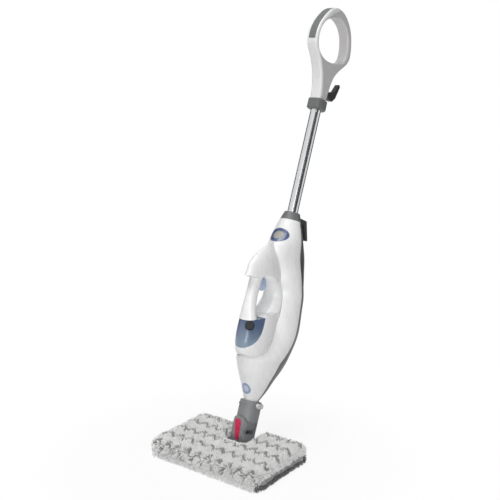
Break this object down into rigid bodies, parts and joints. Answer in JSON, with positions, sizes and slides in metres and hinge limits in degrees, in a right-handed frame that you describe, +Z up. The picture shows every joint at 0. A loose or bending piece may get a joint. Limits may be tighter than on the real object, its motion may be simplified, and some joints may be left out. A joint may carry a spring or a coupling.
{
  "type": "steam mop",
  "caption": "Upright steam mop with a flip-over fleece pad head, leaning white boiler body, lift-out blue water tank unit, metal pole and loop handle.",
  "frame": {"origin": "middle of the pad's underside, on the floor", "axes": "+Z up from the floor, +X along the pad's long side to the mop's left as seen from the front, -Y to the front; the pole leans to +Y"},
  "size_m": [0.332, 0.6266, 1.0959],
  "materials": {
    "white_plastic": "smooth gloss",
    "light_grey_plastic": "smooth satin",
    "rear_plastic": "smooth gloss",
    "grey_plastic": "fine satin",
    "black_plastic": "fine matte",
    "red_plastic": "smooth gloss",
    "fleece": "long looped pile",
    "tank_blue": "clear tinted",
    "trigger_blue": "smooth gloss",
    "badge_blue": "smooth gloss",
    "badge_silver": "satin",
    "lamp_blue": "clear",
    "lamp_clear": "frosted",
    "grip_rubber": "knurled",
    "black_rubber": "matte",
    "hose_rubber": "matte",
    "tube_metal": "polished",
    "screw_steel": "plain",
    "brass_pipe": "plain",
    "boiler_metal": "cast",
    "board_green": "plain"
  },
  "bodies": {
    "head": {"head_lower_plate": "grey_plastic", "head_upper_plate": "grey_plastic", "head_screws": "screw_steel", "steam_pipes": "brass_pipe", "pad_lower_layer": "fleece", "pad_upper_layer": "fleece", "flip_axle": "screw_steel"},
    "fork": {"neck_yoke": "grey_plastic", "yoke_cover": "red_plastic", "swivel_pin": "screw_steel", "swivel_cap": "black_plastic"},
    "pole": {"neck_connector": "grey_plastic", "neck_steam_pipe": "brass_pipe", "latch_spring": "screw_steel", "body_front_shell": "white_plastic", "body_rear_cover": "rear_plastic", "body_screws": "screw_steel", "body_collar": "grey_plastic", "lower_cord_hook": "black_plastic", "badge_bezel": "badge_blue", "badge_plate": "badge_silver", "lamp_ring": "lamp_blue", "lamp_lens": "lamp_clear", "cord_gland": "black_rubber", "boiler": "boiler_metal", "pump": "black_plastic", "control_board": "board_green", "water_hose": "hose_rubber", "steam_hose": "hose_rubber", "inlet_hose": "hose_rubber", "valve_socket": "black_plastic", "pole_tube": "tube_metal", "handle_collar": "grey_plastic", "handle_front_strip": "white_plastic", "grip_insert": "grip_rubber", "handle_right_shell": "light_grey_plastic", "handle_left_shell": "light_grey_plastic", "handle_screws": "screw_steel", "hook_spindle": "screw_steel"},
    "latch": {"latch_button": "light_grey_plastic"},
    "tank_unit": {"tank_housing": "white_plastic", "water_tank": "tank_blue", "tank_valve": "black_plastic", "cap_seal": "black_rubber", "trigger_spring": "screw_steel"},
    "trigger": {"release_trigger": "trigger_blue"},
    "cap": {"filler_cap": "white_plastic"},
    "hook": {"upper_cord_hook": "black_plastic"},
    "snap": {"snap_button": "screw_steel"}
  },
  "joints": [
    {"name": "head_flip", "type": "hinge", "parent": "head", "child": "fork", "pos_m": [0, 0.045, 0.0193], "axis": [-1, 0, 0], "range_deg": [-22, 146]},
    {"name": "neck_swivel", "type": "hinge", "parent": "fork", "child": "pole", "pos_m": [0, 0.06373, 0.06566], "axis": [0, 0.9272, -0.3746], "range_deg": [-40, 40]},
    {"name": "latch_press", "type": "slide", "parent": "pole", "child": "latch", "axis": [-1, 0, 0], "range_m": [0, 0.003], "stiffness_N_per_m": 400},
    {"name": "tank_pull", "type": "slide", "parent": "pole", "child": "tank_unit", "axis": [0, -0.9272, 0.3746], "range_m": [0, 0.12]},
    {"name": "trigger_squeeze", "type": "slide", "parent": "tank_unit", "child": "trigger", "axis": [0, -0.9272, 0.3746], "range_m": [0, 0.005], "stiffness_N_per_m": 400},
    {"name": "cap_turn", "type": "hinge", "parent": "tank_unit", "child": "cap", "pos_m": [0.015, 0.0676, 0.32618], "axis": [0.4082, -0.7147, 0.5679], "range_deg": [0, 90]},
    {"name": "hook_turn", "type": "hinge", "parent": "pole", "child": "hook", "pos_m": [0, 0.41304, 0.87364], "axis": [0, 0.9272, -0.3746], "range_deg": [0, 180]},
    {"name": "snap_press", "type": "slide", "parent": "pole", "child": "snap", "axis": [-0.6018, 0.7405, -0.2992], "range_m": [0, 0.0025], "stiffness_N_per_m": 400}
  ]
}
